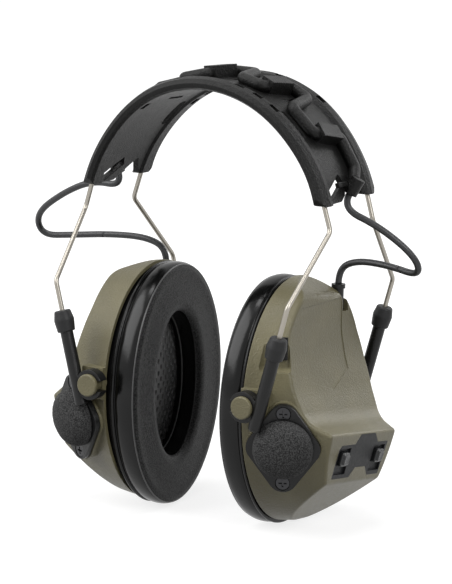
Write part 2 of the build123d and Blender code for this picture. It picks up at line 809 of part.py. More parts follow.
def battery_tray():
    """An open box behind the lid that holds both cells."""
    depth = 2 * CELL_PITCH + 0.3
    mouth = -LID_THICKNESS - 0.3
    outer = lid_place() * Pos(0, 0, mouth - (depth + TRAY_WALL) / 2)
    inner = lid_place() * Pos(0, 0, mouth - depth / 2 + 1)
    wide = TRAY_LENGTH - 2 * TRAY_WALL
    tall = TRAY_HEIGHT - 2 * TRAY_WALL
    box = outer * Box(TRAY_LENGTH - 0.04, TRAY_HEIGHT - 0.04, depth + TRAY_WALL)
    return box - inner * Box(wide, tall, depth + 2)


def battery_contacts():
    """A thin plate at each end of each cell."""
    reach = CELL_LENGTH / 2 + CONTACT_PLATE / 2 + 0.02
    plates = []
    for row in (0, 1):
        for end in (-1, 1):
            place = cell_place(row) * Pos(end * reach, 0, 0)
            plates.append(place * Box(CONTACT_PLATE, 7.0, 7.0))
    return Compound(plates)


# ---------------------------------------------------------------- microphones

def mic_flange():
    flange = mic_place(-FLANGE_THICKNESS) * extrude(diamond(), FLANGE_THICKNESS)
    for place in screw_places():
        flange -= place * extrude(Circle(SCREW_HEAD_RADIUS + 0.3), -SCREW_HEAD_DEPTH)
        flange -= place * extrude(Circle(SCREW_RADIUS + 0.05), -5)
    return flange - mic_place() * extrude(Circle(CAPSULE_RADIUS + 0.05), 5, both=True)


def mic_foam():
    """A low foam dome on the flange: a short disc under a cap of a large sphere."""
    rise = FOAM_HEIGHT - FOAM_STRAIGHT
    ball_radius = (FOAM_RADIUS ** 2 + rise ** 2) / (2 * rise)
    ball = Pos(0, 0, FOAM_HEIGHT - ball_radius) * Sphere(ball_radius)
    disc = extrude(Circle(FOAM_RADIUS), FOAM_HEIGHT + 1)
    return mic_place(0.02) * (disc & ball)


def mic_screws():
    screws = []
    for place in screw_places():
        head = place * Pos(0, 0, -SCREW_HEAD_DEPTH) * extrude(Circle(SCREW_HEAD_RADIUS), 1.5)
        cross = Box(3.2, 0.7, 1.4) + Box(0.7, 3.2, 1.4)
        shank = place * Pos(0, 0, -SCREW_HEAD_DEPTH) * extrude(Circle(SCREW_RADIUS), -5.5)
        top = place * Pos(0, 0, 1.5 - SCREW_HEAD_DEPTH)
        screws.append(head + shank - top * cross)
    return Compound(screws)


def mic_capsule():
    return mic_place() * extrude(Circle(CAPSULE_RADIUS), -CAPSULE_LENGTH)


def boom_socket():
    """Two contacts on a small insert on the floor of the front pocket."""
    t = SOCKET_THICKNESS
    floor = pocket_place() * Pos(SOCKET_SIDE, -SOCKET_DROP, -POCKET_DEPTH)
    insert = floor * Pos(0, 0, t / 2) * Box(SOCKET_WIDTH, SOCKET_HEIGHT, t)
    for side in (-1, 1):
        contact = extrude(Circle(CONTACT_RADIUS), CONTACT_HEIGHT)
        insert += floor * Pos(0, side * CONTACT_SPACING / 2, t) * contact
    return insert


# ---------------------------------------------------------------- inside

def toe_plane():
    """The plane of a cushion's face: the two faces come closer at the front."""
    toe = math.radians(SEAL_TOE)
    return Plane(origin=(SEAL_FACE_X, 0, SEAL_CENTRE_Z), z_dir=(-math.cos(toe), math.sin(toe), 0))


def cushion():
    start = SEAL_FACE_X - SEAL_WIDTH / 2 * math.sin(math.radians(SEAL_TOE)) - 1
    body = oval_slab(start, SEAL_BACK_X, SEAL_WIDTH / 2, SEAL_HEIGHT / 2, SEAL_CENTRE_Z)
    body -= oval_slab(start - 1, SEAL_BACK_X + 1, SEAL_HOLE_WIDTH / 2, SEAL_HOLE_HEIGHT / 2, SEAL_CENTRE_Z)
    body -= extrude(toe_plane() * Rectangle(200, 200), 30)
    return fillet(edges_on(body, toe_plane()), SEAL_ROUND)


def edges_on(body, plane):
    """Edges of a body that lie in a plane."""
    flat = [e for e in body.edges() if abs(plane.to_local_coords(e @ 0.5).Z) < 0.01
            and abs(plane.to_local_coords(e @ 0.1).Z) < 0.01]
    return ShapeList(flat)


def cushion_plate():
    centre = SEAL_CENTRE_Z
    plate = oval_slab(SEAL_BACK_X, RIM_X, 38.0, 49.5, centre)
    skirt_width = RIM_HALF_WIDTH - WALL - 1.4
    skirt_height = RIM_HALF_HEIGHT - WALL - 0.8
    skirt = oval_slab(RIM_X, LINER_X, skirt_width, skirt_height, RIM_CENTRE_Z)
    plate += skirt & side_profile(WALL + 0.15, LEFT_PROFILE)
    opening_width = SEAL_HOLE_WIDTH / 2 + 3
    opening_height = SEAL_HOLE_HEIGHT / 2 + 3
    return plate - oval_slab(SEAL_BACK_X - 1, LINER_X + 1, opening_width, opening_height, centre)


def foam_liner():
    return oval_slab(LINER_X, LINER_X + LINER_THICKNESS, LINER_HALF_WIDTH, LINER_HALF_HEIGHT, RIM_CENTRE_Z - 1)


def speaker():
    back = LINER_X + LINER_THICKNESS
    place = Plane(origin=(back, 0, SPEAKER_Z), z_dir=(1, 0, 0))
    body = place * extrude(Circle(SPEAKER_RADIUS), 4.0)
    return body + place * Pos(0, 0, 4.0) * extrude(Circle(SPEAKER_RADIUS * 0.45), 1.6)


def circuit_board():
    behind = 1.1 - PANEL_BACKING - WALL
    return panel_place() * Pos(0, 0, behind - 0.82) * Box(BOARD_WIDTH, BOARD_HEIGHT, 1.6)


print("pivot height", PIVOT_Z)
band = headband()
save(band, "headband")
wire = along(wire_path(), WIRE_DIAMETER / 2)
save(wire, "rear_spring_wire")
save(front_of(wire), "front_spring_wire")
save(along(cord_path_on_band(), CORD_DIAMETER / 2), "band_cord")
save_pair(cable_clip(), "cord_clip")
save(free_cord(LEFT_LOOP, 1), "left_cord_loop")
save(free_cord(RIGHT_LOOP, -1), "right_cord_loop")

arm = rear_arm()
cap = arm_cap()
stud = rear_stud()
save_pair(arm, "rear_arm")
save_pair(front_of(arm), "front_arm")
save_pair(cap, "rear_arm_cap")
save_pair(front_of(cap), "front_arm_cap")
save_pair(stud, "rear_stud")
save_pair(front_of(stud), "front_stud")

left_shell = cup_shell(
    LEFT_PROFILE,
    pocket_cut() + panel_room(),
    pocket_block() + panel_block(LEFT_PROFILE),
)
save(left_shell, "left_cup_shell")
right_shell = cup_shell(RIGHT_PROFILE, lid_room(), panel_block(RIGHT_PROFILE))
save(mirror(right_shell, about=Plane.YZ), "right_cup_shell")
save_pair(cushion(), "cushion")
save_pair(cushion_plate(), "cushion_plate")
save_pair(foam_liner(), "foam_liner")
save_pair(speaker(), "speaker")
save_pair(mic_flange(), "mic_flange")
save_pair(mic_foam(), "mic_foam")
save_pair(mic_screws(), "mic_screws")
save_pair(mic_capsule(), "mic_capsule")
save_pair(strain_relief(), "strain_relief")
save(boom_socket(), "boom_socket")
save(button_panel(), "button_panel")
save(button(-1), "plus_button")
save(button(1), "minus_button")
save(circuit_board(), "circuit_board")
save(mirror(battery_lid(), about=Plane.YZ), "battery_lid")
save(mirror(hinge_pin(), about=Plane.YZ), "lid_hinge_pin")
save(mirror(batteries(), about=Plane.YZ), "batteries")
save(mirror(battery_tray(), about=Plane.YZ), "battery_tray")
save(mirror(battery_contacts(), about=Plane.YZ), "battery_contacts")
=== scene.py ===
# %% [markdown]
# # An electronic ear-defender headset
# Two olive cups hang on a black headband by two steel spring wires. This lesson loads
# the measured parts, which stay where they are, and makes the soft and fine pieces
# around them: cords, cushions, foam domes and the finishes of all the rest.

import bpy
import numpy as np
from mathutils import Matrix, Vector


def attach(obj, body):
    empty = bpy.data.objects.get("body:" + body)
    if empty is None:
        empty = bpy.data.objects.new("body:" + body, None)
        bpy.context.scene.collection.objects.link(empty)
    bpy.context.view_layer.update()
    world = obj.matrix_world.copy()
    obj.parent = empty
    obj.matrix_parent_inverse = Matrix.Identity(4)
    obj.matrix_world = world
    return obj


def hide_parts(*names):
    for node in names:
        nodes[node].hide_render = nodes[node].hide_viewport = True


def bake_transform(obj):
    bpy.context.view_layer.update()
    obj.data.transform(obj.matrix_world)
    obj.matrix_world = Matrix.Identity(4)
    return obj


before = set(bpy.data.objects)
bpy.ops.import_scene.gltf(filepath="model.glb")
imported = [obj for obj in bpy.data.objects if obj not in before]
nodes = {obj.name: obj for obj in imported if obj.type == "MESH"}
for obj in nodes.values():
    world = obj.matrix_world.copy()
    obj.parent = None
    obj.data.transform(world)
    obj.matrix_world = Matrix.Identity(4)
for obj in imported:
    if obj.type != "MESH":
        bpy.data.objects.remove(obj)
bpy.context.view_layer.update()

MM = 0.001
print("parts in the frame:", len(nodes))

# %% [markdown]
# ## Camera
# The headset is seen from its front left and a little above, from about a metre, with a
# long lens, so that its two cups keep nearly the same size. A camera's matrix has its
# right, up and back directions as columns, which is easier to control than angles.

# %% Camera
AZIMUTH, ELEVATION, ROLL = np.radians([30.38, 9.58, 1.316])
DISTANCE = 1.029
AIM = np.array([0, 0, 0.09278])
SENSOR_WIDTH = 36
FOCAL_LENGTH = 154.1
back = np.array([
    np.sin(AZIMUTH) * np.cos(ELEVATION),
    -np.cos(AZIMUTH) * np.cos(ELEVATION),
    np.sin(ELEVATION),
])
right = np.array([np.cos(AZIMUTH), np.sin(AZIMUTH), 0])
up = np.cross(back, right)
camera_x = np.cos(ROLL) * right + np.sin(ROLL) * up
camera_y = np.cos(ROLL) * up - np.sin(ROLL) * right
placing = np.eye(4)
placing[:3, :3] = np.stack([camera_x, camera_y, back], axis=1)
placing[:3, 3] = AIM + back * DISTANCE
lens = bpy.data.cameras.new("camera")
lens.sensor_width = SENSOR_WIDTH
lens.lens = FOCAL_LENGTH
camera = bpy.data.objects.new("camera", lens)
camera.matrix_world = Matrix(placing.tolist())
bpy.context.scene.collection.objects.link(camera)
bpy.context.scene.camera = camera
print("camera at", np.round(placing[:3, 3], 3))

# %% [markdown]
# ## Surfaces from grids
# Every new piece is a grid of points worked out as one numpy array. One helper turns
# such a grid into a mesh: rows and columns may wrap round, and open ends are closed
# with a fan to their middle, so that each piece is a shut skin.

# %% Grid to mesh
def skin(name, grid, wrap_rows=False, wrap_columns=True, close_ends=False):
    """A mesh from points grid[row, column]. Quads join each row to the next."""
    rows, columns = grid.shape[:2]
    index = np.arange(rows * columns).reshape(rows, columns)
    if wrap_rows:
        index = np.vstack([index, index[:1]])
    if wrap_columns:
        index = np.hstack([index, index[:, :1]])
    quads = np.stack([index[:-1, :-1], index[:-1, 1:], index[1:, 1:], index[1:, :-1]], -1)
    points = grid.reshape(-1, 3)
    faces = quads.reshape(-1, 4).tolist()
    if close_ends:
        first, last = len(points), len(points) + 1
        points = np.vstack([points, grid[0].mean(0), grid[-1].mean(0)])
        low, high = index[0], index[-1]
        faces += np.stack([low[1:], low[:-1], np.full(len(low) - 1, first)], -1).tolist()
        faces += np.stack([high[:-1], high[1:], np.full(len(low) - 1, last)], -1).tolist()
    mesh = bpy.data.meshes.new(name)
    mesh.from_pydata(points.tolist(), [], faces)
    mesh.polygons.foreach_set("use_smooth", np.ones(len(faces), bool))
    mesh.update()
    piece = bpy.data.objects.new(name, mesh)
    bpy.context.scene.collection.objects.link(piece)
    return piece


def point_outward(piece):
    """Turn all faces of a closed piece outward: its signed volume becomes positive."""
    mesh = piece.data
    mesh.calc_loop_triangles()
    corners = np.zeros(len(mesh.loop_triangles) * 3, int)
    mesh.loop_triangles.foreach_get("vertices", corners)
    points = np.zeros(len(mesh.vertices) * 3)
    mesh.vertices.foreach_get("co", points)
    a, b, c = points.reshape(-1, 3)[corners.reshape(-1, 3)].transpose(1, 0, 2)
    volume = np.einsum("ij,ij->i", a, np.cross(b, c)).sum() / 6
    if volume < 0:
        mesh.flip_normals()
    size = round(abs(volume) / MM**3, 1)
    print(piece.name, "volume", size, "mm3", len(mesh.polygons), "faces")
    return piece


def rows_along(path, radius, sides, across=(0, 1, 0)):
    """A round tube: each row is a circle square to the path at one of its points.
    Row i = point + radius * (cos a * side + sin a * lift), a from 0 to a full turn."""
    path = np.asarray(path, float)
    tangent = np.gradient(path, axis=0)
    tangent /= np.linalg.norm(tangent, axis=1)[:, None]
    side = np.cross(tangent, across)
    side /= np.linalg.norm(side, axis=1)[:, None]
    lift = np.cross(side, tangent)
    turn = np.linspace(0, 2 * np.pi, sides, endpoint=False)[None, :, None]
    radius = np.broadcast_to(radius, len(path))[:, None, None]
    circle = np.cos(turn) * side[:, None] + np.sin(turn) * lift[:, None]
    return path[:, None] + radius * circle


def finish_piece(piece, body, slot, *replaced):
    """Let a piece move with its body and stand for its nodes. The slot is not used."""
    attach(piece, body)
    if replaced:
        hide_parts(*replaced)
    return piece


# %% [markdown]
# ## Cords
# A thin cord leaves a clip at each end of the headband, swings out in one free loop and
# enters the cup through a rubber boot. It is held at both ends and bends under its own
# stiffness. Its line is a smooth spline through listed control points. The cup slides on
# the wires and also tilts, so the cord is made of two joined lengths: the long one runs
# between headband and arms, the short one between arms and cup.

# %% Cords
CORD_DIAMETER = 2.8
PIVOT_Z = 57.0
CLIP_EXIT = (54.9, 2.0, 81.0)
BELOW_CLIP = (52.02, 0.74, 75.19)
ABOVE_BOOT = (41.6, 20.0, 47.5)
BOOT_ENTRY = (41.6, 20.0, 41.0)
LEFT_LOOP = [
    (67.0, 5.5, 68.4),
    (80.2, 12.0, 56.8),
    (80.6, 15.8, 48.4),
    (66.0, 17.2, 51.2),
    (50.5, 19.2, 51.6),
]
RIGHT_LOOP = [
    (68.0, 2.4, 76.2),
    (84.0, 4.2, 69.6),
    (102.0, 9.5, 58.5),
    (102.2, 14.5, 48.3),
    (88.0, 16.2, 49.5),
    (68.0, 17.8, 51.6),
    (51.0, 19.2, 51.6),
]
SHORT_LENGTH = 36.0
CORD_SPACING = 0.8
CORD_SIDES = 20
SPLINE_STEPS = 24


def cord_line(name, loop, side):
    """Points along the NURBS spline that has the route's points as its controls."""
    route = np.array([CLIP_EXIT, BELOW_CLIP, *loop, ABOVE_BOOT, BOOT_ENTRY])
    route = (route + [0, 0, PIVOT_Z]) * MM * [side, 1, 1]
    curve = bpy.data.curves.new(name, "CURVE")
    curve.dimensions = "3D"
    curve.resolution_u = SPLINE_STEPS
    spline = curve.splines.new("NURBS")
    spline.points.add(len(route) - 1)
    spline.points.foreach_set("co", np.hstack([route, np.ones((len(route), 1))]).ravel())
    spline.order_u = 3
    spline.use_endpoint_u = True
    holder = bpy.data.objects.new(name, curve)
    bpy.context.scene.collection.objects.link(holder)
    bpy.context.view_layer.update()
    line = bpy.data.meshes.new_from_object(holder)
    points = np.zeros(len(line.vertices) * 3)
    line.vertices.foreach_get("co", points)
    bpy.data.objects.remove(holder)
    bpy.data.meshes.remove(line)
    return points.reshape(-1, 3)


def arc_length(points):
    steps = np.linalg.norm(np.diff(points, axis=0), axis=1)
    return np.concatenate([[0], np.cumsum(steps)])


def evenly(points, spacing):
    """The same line with its points at equal steps."""
    along = arc_length(points)
    count = int(round(along[-1] / spacing)) + 1
    wanted = np.linspace(0, along[-1], count)
    return np.stack([np.interp(wanted, along, points[:, i]) for i in range(3)], axis=1)


def cord_length(name, line, node):
    """One length of cord as a closed tube along its line."""
    tube = rows_along(line, CORD_DIAMETER / 2 * MM, CORD_SIDES)
    piece = point_outward(skin(name, tube, close_ends=True))
    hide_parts(node)
    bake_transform(piece)
    return piece


cords = []
for side_name, loop, side in (("left", LEFT_LOOP, 1), ("right", RIGHT_LOOP, -1)):
    line = evenly(cord_line(side_name + "_route", loop, side), CORD_SPACING * MM)
    along = arc_length(line)
    split = np.searchsorted(along, along[-1] - SHORT_LENGTH * MM)
    node = side_name + "_cord_loop"
    yoke, cup = side_name + "_yoke", side_name + "_cup"
    cords.append(cord_length(side_name + "_cord_upper", line[:split + 1],
                             node))
    cords.append(cord_length(side_name + "_cord_lower", line[split:][::-1],
                             node))

# %% [markdown]
# ## Finishes
# Moulded plastic is never quite smooth: a fine spark-eroded grain breaks up every
# reflection. All finishes are built from noise on object coordinates, so they need no
# unwrapping and keep their true size. One helper makes the shader and its grain.

# %% Shader helpers
EDGE_ROUNDING = 0.0004
EDGE_SAMPLES = 4
CLOUD_SCALE = 60
GLOSS_SCALE = 700
GLOSS_SPREAD = 0.10


def new_finish(name, colour, roughness, metallic=0.0, shine=0.5):
    material = bpy.data.materials.new(name)
    material.use_nodes = True
    shader = material.node_tree.nodes["Principled BSDF"]
    shader.inputs["Specular IOR Level"].default_value = shine
    shader.inputs["Base Color"].default_value = (*colour, 1)
    shader.inputs["Roughness"].default_value = roughness
    shader.inputs["Metallic"].default_value = metallic
    return material, shader


def object_noise(material, scale, detail=3.0, stretch=(1, 1, 1)):
    """Noise on object coordinates; scale is in features per metre."""
    tree = material.node_tree
    place = tree.nodes.new("ShaderNodeTexCoord")
    mapping = tree.nodes.new("ShaderNodeMapping")
    mapping.inputs["Scale"].default_value = stretch
    tree.links.new(place.outputs["Object"], mapping.inputs["Vector"])
    noise = tree.nodes.new("ShaderNodeTexNoise")
    noise.inputs["Scale"].default_value = scale
    noise.inputs["Detail"].default_value = detail
    tree.links.new(mapping.outputs["Vector"], noise.inputs["Vector"])
    return noise.outputs["Fac"]


def ramp(material, value, low, high, colour_low, colour_high):
    """Blend two colours as value goes from low to high."""
    node = material.node_tree.nodes.new("ShaderNodeValToRGB")
    node.color_ramp.elements[0].position = low
    node.color_ramp.elements[1].position = high
    node.color_ramp.elements[0].color = (*colour_low, 1)
    node.color_ramp.elements[1].color = (*colour_high, 1)
    material.node_tree.links.new(value, node.inputs["Fac"])
    return node.outputs["Color"]


def add_bump(material, shader, height, strength, depth):
    """Raise the surface by depth (metres) where height is 1, over any earlier bump."""
    tree = material.node_tree
    bump = tree.nodes.new("ShaderNodeBump")
    bump.inputs["Strength"].default_value = strength
    bump.inputs["Distance"].default_value = depth
    if shader.inputs["Normal"].links:
        tree.links.new(shader.inputs["Normal"].links[0].from_socket, bump.inputs["Normal"])
    tree.links.new(height, bump.inputs["Height"])
    tree.links.new(bump.outputs["Normal"], shader.inputs["Normal"])


def soften_edges(material, shader):
    """Shade each sharp edge as if it were rounded, so that it catches a line of light."""
    tree = material.node_tree
    rounding = tree.nodes.new("ShaderNodeBevel")
    rounding.samples = EDGE_SAMPLES
    rounding.inputs["Radius"].default_value = EDGE_ROUNDING
    tree.links.new(rounding.outputs["Normal"], shader.inputs["Normal"])


def vary_roughness(material, shader, value, low, high):
    tree = material.node_tree
    spread = tree.nodes.new("ShaderNodeMapRange")
    spread.inputs["To Min"].default_value = low
    spread.inputs["To Max"].default_value = high
    tree.links.new(value, spread.inputs["Value"])
    tree.links.new(spread.outputs["Result"], shader.inputs["Roughness"])


# %% [markdown]
# Olive plastic is satin with a fine grain. Its tint drifts a little, as moulded colour
# does. The black band has a coarser grain, and the arms are smoother.

# %% Moulded plastics
def moulded(name, colour, roughness, grain_scale, grain_depth, drift=0.10, shine=0.25):
    """Plastic whose tint drifts in wide clouds and whose surface has a fine raised grain."""
    material, shader = new_finish(name, colour, roughness, shine=shine)
    cloud = object_noise(material, CLOUD_SCALE, 2)
    darker = tuple(c * (1 - drift) for c in colour)
    lighter = tuple(c * (1 + drift) for c in colour)
    tint = ramp(material, cloud, 0.35, 0.65, darker, lighter)
    material.node_tree.links.new(tint, shader.inputs["Base Color"])
    grain = object_noise(material, grain_scale, 2)
    soften_edges(material, shader)
    add_bump(material, shader, grain, 0.7, grain_depth)
    gloss = object_noise(material, GLOSS_SCALE, 3)
    vary_roughness(material, shader, gloss, roughness - GLOSS_SPREAD, roughness + GLOSS_SPREAD)
    return material


olive = moulded(
    "olive_plastic", (0.138, 0.124, 0.070),
    roughness=0.38, grain_scale=1400, grain_depth=0.00030, drift=0.08, shine=0.34,
)
band_black = moulded(
    "band_plastic", (0.0060, 0.0060, 0.0058),
    roughness=0.40, grain_scale=1500, grain_depth=0.00045, drift=0.12, shine=0.15,
)
arm_black = moulded(
    "arm_plastic", (0.007, 0.007, 0.0071),
    roughness=0.36, grain_scale=1800, grain_depth=0.00015,
)
mic_black = moulded(
    "flange_plastic", (0.006, 0.006, 0.0061),
    roughness=0.34, grain_scale=1800, grain_depth=0.00012,
)
panel_grey = moulded(
    "panel_plastic", (0.008, 0.0084, 0.0092),
    roughness=0.44, grain_scale=1800, grain_depth=0.00015, drift=0.10, shine=0.14,
)
key_grey = moulded(
    "key_rubber", (0.012, 0.0125, 0.0135),
    roughness=0.30, grain_scale=1800, grain_depth=0.00010, drift=0.10, shine=0.40,
)
cap_rubber = moulded(
    "cap_rubber", (0.013, 0.0132, 0.0138),
    roughness=0.50, grain_scale=1600, grain_depth=0.00015,
)
plate_black = moulded(
    "plate_plastic", (0.006, 0.006, 0.0063),
    roughness=0.32, grain_scale=1800, grain_depth=0.00005,
)
cord_grey = moulded(
    "cord_jacket", (0.026, 0.027, 0.029),
    roughness=0.36, grain_scale=1500, grain_depth=0.00008, drift=0.10, shine=0.35,
)

# %% [markdown]
# The spring wires are drawn stainless steel. Drawing leaves faint streaks, so the noise
# is stretched along the wire, which runs mostly up and down.

# %% Metals
def drawn_metal(name, colour, roughness):
    material, shader = new_finish(name, colour, roughness, metallic=1.0)
    streak = object_noise(material, 300, 2, (1, 1, 0.05))
    vary_roughness(material, shader, streak, roughness - 0.02, roughness + 0.02)
    return material


spring_steel = drawn_metal("spring_steel", (0.30, 0.28, 0.245), 0.36)
black_steel = drawn_metal("black_steel", (0.040, 0.040, 0.042), 0.22)
brass = drawn_metal("contact_brass", (0.72, 0.55, 0.25), 0.30)

# %% [markdown]
# Cushion vinyl is smooth and glossy at the side. The face is pressed with a fine matt
# speckle. The foam of the microphone domes and the liner is open-celled: light cell
# walls and dark pores. A fine noise drives both the colour and the bump.

# %% Soft finishes
vinyl, vinyl_shader = new_finish("glossy_vinyl", (0.003, 0.0031, 0.0031), 0.20, shine=0.22)
add_bump(vinyl, vinyl_shader, object_noise(vinyl, 180, 2), 0.25, 0.0003)
vary_roughness(vinyl, vinyl_shader, object_noise(vinyl, 120, 3), 0.14, 0.27)


def speckle_finish(name, dark, light, scale, depth, roughness):
    """Light specks on a dark ground, with the specks raised a little."""
    material, shader = new_finish(name, (dark, dark, dark), roughness, shine=0.16)
    speck = object_noise(material, scale, 2)
    tint = ramp(material, speck, 0.42, 0.60, (dark, dark, dark), (light, light, light))
    material.node_tree.links.new(tint, shader.inputs["Base Color"])
    add_bump(material, shader, speck, 0.8, depth)
    return material


face_skin = speckle_finish(
    "cushion_face", dark=0.001, light=0.034, scale=1900, depth=0.00035, roughness=0.52,
)
dome_foam = speckle_finish(
    "dome_foam", dark=0.018, light=0.085, scale=2300, depth=0.00030, roughness=0.85,
)
liner_cloth = speckle_finish(
    "liner_cloth", dark=0.006, light=0.030, scale=1500, depth=0.0002, roughness=0.80,
)
# Seam bead and trim ring: mid grey, far lighter than the black vinyl, a painted highlight
# along them.
seam_trim_highlight, _ = new_finish("seam_trim_highlight", (0.07, 0.07, 0.07), 0.35)

board_green = moulded(
    "board_green", (0.02, 0.16, 0.06),
    roughness=0.35, grain_scale=1500, grain_depth=0.00002,
)
cell_sleeve = moulded(
    "cell_sleeve", (0.25, 0.25, 0.27),
    roughness=0.30, grain_scale=1500, grain_depth=0.00001,
)

# %% [markdown]
# Each measured part names its own finish slot. A table gives the shader for every slot.

# %% Finishes on the measured parts
FINISH = {
    "band_black": band_black, "spring_steel": spring_steel, "cord_grey": cord_grey,
    "arm_black": arm_black, "cap_rubber": cap_rubber, "olive": olive,
    "cushion_black": vinyl, "seal_plate": plate_black, "liner_foam": liner_cloth,
    "driver": plate_black, "mic_black": mic_black, "mic_foam": dome_foam,
    "screw_steel": black_steel, "panel_grey": panel_grey, "board_green": board_green,
    "contact_brass": brass, "cell": cell_sleeve, "pin_steel": spring_steel,
}
for node_name, node_object in nodes.items():
    for place in node_object.material_slots:
        slot = place.material.name.split(".")[0]
        if slot in FINISH:
            place.material = FINISH[slot]
        else:
            print("no finish for", node_name, slot)
for piece in cords:
    piece.data.materials.append(cord_grey)

# %% [markdown]
# ## Cushions
# Each cushion is a soft ring of foam in glossy vinyl, welded along a seam to a speckled
# face. Its section is a closed curve through a few points: a flat back, a lip groove, a
# side wall, the seam and a crowned face that rolls into the hole. The curve is carried
# round the oval, and a short cloth simulation then swells the panels between the seams.

# %% Cushion surface
SEAL_X = 21.5
SEAL_BACK = 31.2
SEAL_TOE = 3.0
SEAL_CENTRE_Z = 51.5
OUTER = np.array([39.0, 51.5])
HOLE = np.array([17.5, 29.9])
SECTION = np.array([
    (9.6, 12.0), (9.6, 4.0), (9.6, 1.0), (9.1, 0.3), (8.5, 0.5), (8.1, 1.3), (7.6, 0.8),
    (6.4, 0.3), (4.6, 0.1), (2.9, 0.2), (1.6, 0.6), (1.0, 1.1), (0.5, 1.9), (0.1, 3.4),
    (0.0, 6.0), (-0.2, 10.5), (-0.2, 15.0), (0.0, 17.6), (0.7, 19.6), (2.2, 20.7),
    (5.0, 21.1), (9.6, 21.2), (9.6, 18.0),
])
SEAM_POINT = 11
FACE_END_POINT = 19
ROUND_STEPS = 200
SECTION_STEPS = 4
HELD_DEPTH = 29.2
SWELL_FRAMES = 12
SWELL_PRESSURE = 2.5
SWELL_LIMIT = 0.5
SEAM_RADIUS = 0.30


def closed_spline(points, steps):
    """Catmull-Rom curve through points in a ring: each span is the cubic that leaves and
    enters along the chord of the two neighbours."""
    before, here = np.roll(points, 1, 0), points
    after, beyond = np.roll(points, -1, 0), np.roll(points, -2, 0)
    t = np.linspace(0, 1, steps, endpoint=False)[None, :, None]
    p0, p1, p2, p3 = (p[:, None] for p in (before, here, after, beyond))
    spans = 0.5 * (2 * p1 + (p2 - p0) * t + (2 * p0 - 5 * p1 + 4 * p2 - p3) * t**2
                   + (3 * p1 - p0 - 3 * p2 + p3) * t**3)
    return spans.reshape(-1, points.shape[1])


def cushion_grid(side):
    """Ring point = outer oval moved toward the hole by the section's width w. Its depth
    starts at the face, a plane that leans in at the front by the toe angle, and is
    stretched to end at the flat back."""
    section = closed_spline(SECTION, SECTION_STEPS)
    turn = np.linspace(0, 2 * np.pi, ROUND_STEPS, endpoint=False)[:, None]
    share = section[:, 1] / (OUTER[0] - HOLE[0])
    half = OUTER[:, None] + (HOLE - OUTER)[:, None] * share
    y = half[0] * np.cos(turn)
    z = half[1] * np.sin(turn) + SEAL_CENTRE_Z
    face = SEAL_X + y * np.tan(np.radians(SEAL_TOE))
    x = face + section[:, 0] * (SEAL_BACK - face) / (SEAL_BACK - SEAL_X)
    return np.stack([side * x, y, z], -1) * MM


def swell(piece, frames, pressure, limit, pinned):
    """Inflate a closed skin as cloth, keep the pinned points and cap the others' move."""
    mesh = piece.data
    start = np.zeros(len(mesh.vertices) * 3)
    mesh.vertices.foreach_get("co", start)
    group = piece.vertex_groups.new(name="held")
    group.add(np.flatnonzero(pinned).tolist(), 1.0, "REPLACE")
    cloth = piece.modifiers.new("swell", "CLOTH")
    cloth.settings.use_pressure = True
    cloth.settings.uniform_pressure_force = pressure
    cloth.settings.effector_weights.gravity = 0
    cloth.settings.vertex_group_mass = "held"
    cloth.settings.tension_stiffness = 20
    cloth.settings.compression_stiffness = 20
    cloth.settings.bending_stiffness = 2
    cloth.point_cache.frame_start = 1
    cloth.point_cache.frame_end = frames
    for step in range(1, frames + 1):
        bpy.context.scene.frame_set(step)
    settled = piece.evaluated_get(bpy.context.evaluated_depsgraph_get())
    moved = np.zeros(len(mesh.vertices) * 3)
    settled.data.vertices.foreach_get("co", moved)
    piece.modifiers.clear()
    piece.vertex_groups.clear()
    bpy.context.scene.frame_set(1)
    step = (moved - start).reshape(-1, 3)
    length = np.linalg.norm(step, axis=1, keepdims=True)
    print(piece.name, "swelled by", round(length.max() / MM, 2), "mm at most")
    step *= np.minimum(1, limit / np.maximum(length, 1e-9))
    mesh.vertices.foreach_set("co", (start.reshape(-1, 3) + step).ravel())
    mesh.update()


def ring_cord(name, centre_line, radius, sides):
    """A closed ring of cord along a line of points."""
    ring = np.vstack([centre_line[-1:], centre_line, centre_line[:1]])
    rows = rows_along(ring, radius, sides, across=(1, 0, 0))[1:-1]
    return point_outward(skin(name, rows, wrap_rows=True))


seam_column = SEAM_POINT * SECTION_STEPS
face_end = FACE_END_POINT * SECTION_STEPS
for side_name, side in (("left", 1), ("right", -1)):
    grid = cushion_grid(side)
    cushion = skin(side_name + "_cushion_soft", grid, wrap_rows=True)
    columns = grid.shape[1]
    column = np.tile(np.arange(columns), ROUND_STEPS)
    depth = np.abs(grid[..., 0].ravel()) / MM
    held = (depth > HELD_DEPTH) | (column == seam_column)
    swell(cushion, SWELL_FRAMES, SWELL_PRESSURE, SWELL_LIMIT * MM, held)
    point_outward(cushion)
    cushion.data.materials.append(vinyl)
    cushion.data.materials.append(face_skin)
    on_face = (column >= seam_column) & (column < face_end)
    cushion.data.polygons.foreach_set("material_index", on_face.astype(np.int32))
    cup = side_name + "_cup"
    finish_piece(cushion, cup, "cushion_black", side_name + "_cushion")

    points = np.zeros(len(cushion.data.vertices) * 3)
    cushion.data.vertices.foreach_get("co", points)
    shape = points.reshape(ROUND_STEPS, columns, 3)
    seam_line = shape[:, seam_column]
    seam = ring_cord(side_name + "_cushion_seam", seam_line, SEAM_RADIUS * MM, 6)
    # The seam bead takes the painted highlight grey.
    seam.data.materials.append(seam_trim_highlight)
    finish_piece(seam, cup, "cushion_black")
    print(side_name, "seam runs", round(arc_length(seam_line)[-1] / MM, 1), "mm")
